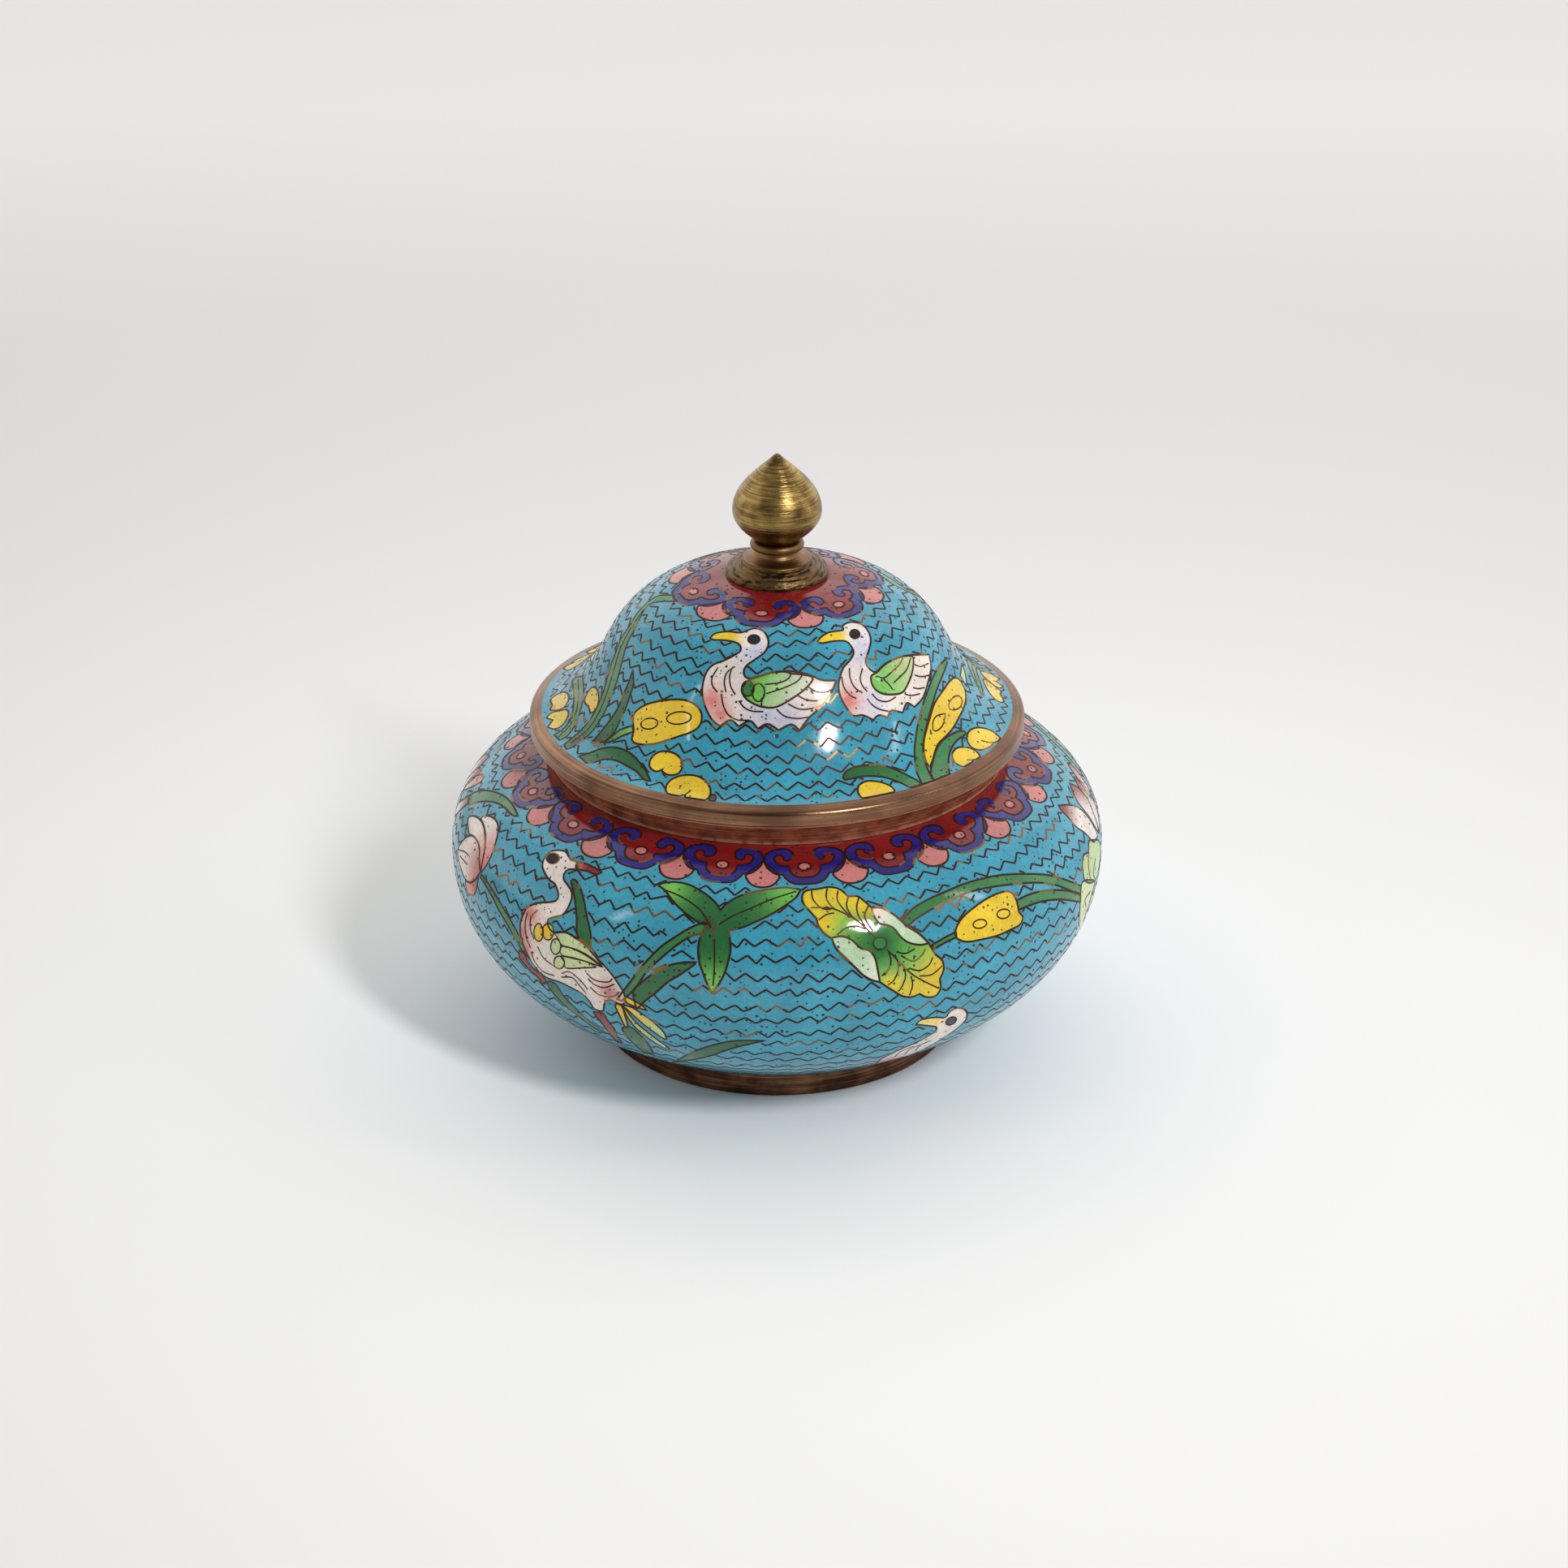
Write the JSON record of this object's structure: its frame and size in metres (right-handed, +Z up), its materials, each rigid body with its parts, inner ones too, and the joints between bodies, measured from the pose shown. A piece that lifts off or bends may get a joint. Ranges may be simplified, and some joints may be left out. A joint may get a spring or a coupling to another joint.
{
  "type": "cloisonne enamel box",
  "caption": "Squat round lidded box of enamelled copper on a foot ring, with a flared dome lid that lifts off by a turned brass bud knob.",
  "frame": {"origin": "on the surface it stands on, at the centre of the foot ring", "axes": "+Z up along the axis of the box; -Y is the side that the picture shows, with the ducks on the lid"},
  "size_m": [0.11, 0.11, 0.1021],
  "materials": {
    "bowl_enamel": "turquoise cloisonne enamel, ground and polished, glossy",
    "lid_enamel": "turquoise cloisonne enamel, ground and polished, glossy",
    "foot_copper": "dark patinated copper, turned, with fine scratches around it",
    "neck_copper": "reddish oxidised copper, mottled",
    "rim_copper": "brown copper, worn smooth",
    "finial_brass": "turned brass with fine tool rings and brown tarnish in them"
  },
  "bodies": {
    "root": {"bowl": "bowl_enamel", "foot_ring": "foot_copper", "neck_ring": "neck_copper", "lid": "lid_enamel", "lid_rim": "rim_copper", "finial": "finial_brass"}
  },
  "joints": []
}
